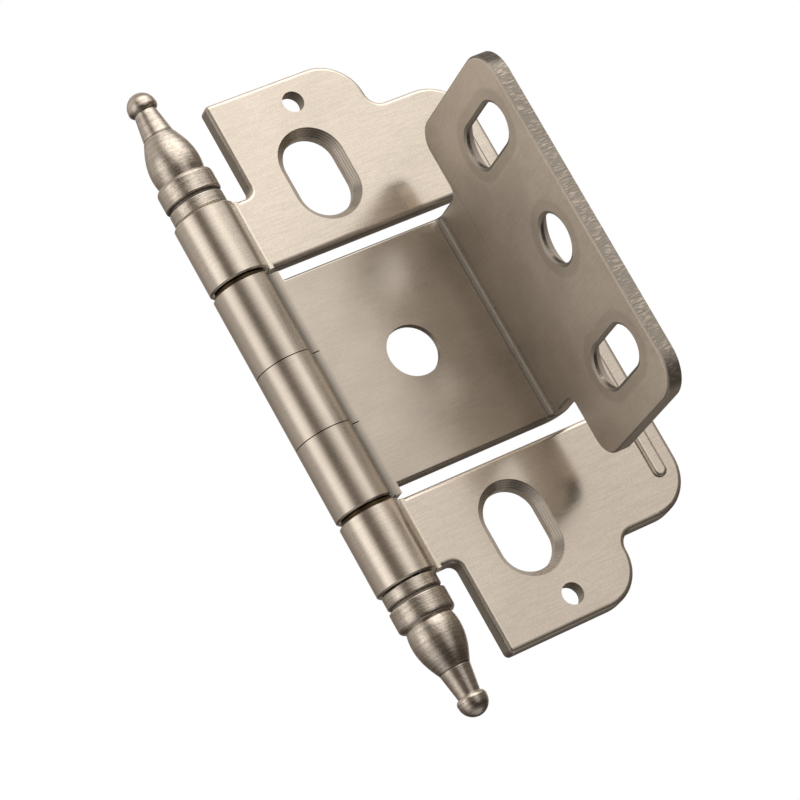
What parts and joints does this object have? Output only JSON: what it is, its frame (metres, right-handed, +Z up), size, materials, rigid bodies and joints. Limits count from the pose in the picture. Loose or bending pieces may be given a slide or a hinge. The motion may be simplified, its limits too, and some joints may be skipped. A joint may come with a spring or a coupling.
{
  "type": "ball bearing hinge",
  "caption": "Full-wrap inset cabinet door hinge: a slotted frame leaf, a bent door leaf that nests in its window, a pin with turned finials and hidden thrust ball bearings.",
  "frame": {"origin": "middle of the hinge pin, half way up the run of knuckles, on the pin's axis", "axes": "+Z up along the pin, +X from the pin across the closed leaves, +Y into the cabinet frame, so the door is on the -Y side"},
  "size_m": [0.035, 0.027, 0.0696],
  "materials": {
    "nickel_sheet": "brushed satin nickel plate on pressed steel sheet",
    "nickel_turned": "satin nickel plate on turned steel",
    "pin_steel": "drawn steel rod",
    "bearing_steel": "polished bearing steel",
    "cage_brass": "stamped brass"
  },
  "bodies": {
    "frame": {"frame_leaf": "nickel_sheet", "hinge_pin": "pin_steel", "upper_finial": "nickel_turned", "lower_finial": "nickel_turned", "upper_frame_race": "bearing_steel", "lower_frame_race": "bearing_steel"},
    "door": {"door_leaf": "nickel_sheet", "upper_door_race": "bearing_steel", "lower_door_race": "bearing_steel"},
    "upper_cage": {"upper_ball_cage": "cage_brass", "upper_ball_1": "bearing_steel", "upper_ball_2": "bearing_steel", "upper_ball_3": "bearing_steel", "upper_ball_4": "bearing_steel", "upper_ball_5": "bearing_steel", "upper_ball_6": "bearing_steel", "upper_ball_7": "bearing_steel", "upper_ball_8": "bearing_steel"},
    "lower_cage": {"lower_ball_cage": "cage_brass", "lower_ball_1": "bearing_steel", "lower_ball_2": "bearing_steel", "lower_ball_3": "bearing_steel", "lower_ball_4": "bearing_steel", "lower_ball_5": "bearing_steel", "lower_ball_6": "bearing_steel", "lower_ball_7": "bearing_steel", "lower_ball_8": "bearing_steel"}
  },
  "joints": [
    {"name": "door_swing", "type": "hinge", "parent": "frame", "child": "door", "pos_m": [0, 0, 0], "axis": [0, 0, -1], "range_deg": [0, 180]},
    {"name": "upper_cage_turn", "type": "hinge", "parent": "frame", "child": "upper_cage", "pos_m": [0, 0, 0.01273], "axis": [0, 0, -1], "range_deg": [0, 90]},
    {"name": "lower_cage_turn", "type": "hinge", "parent": "frame", "child": "lower_cage", "pos_m": [0, 0, -0.01273], "axis": [0, 0, -1], "range_deg": [0, 90]}
  ],
  "couplings": [
    {"joint": "upper_cage_turn", "follows": "door_swing", "ratio": 0.5},
    {"joint": "lower_cage_turn", "follows": "door_swing", "ratio": 0.5}
  ]
}
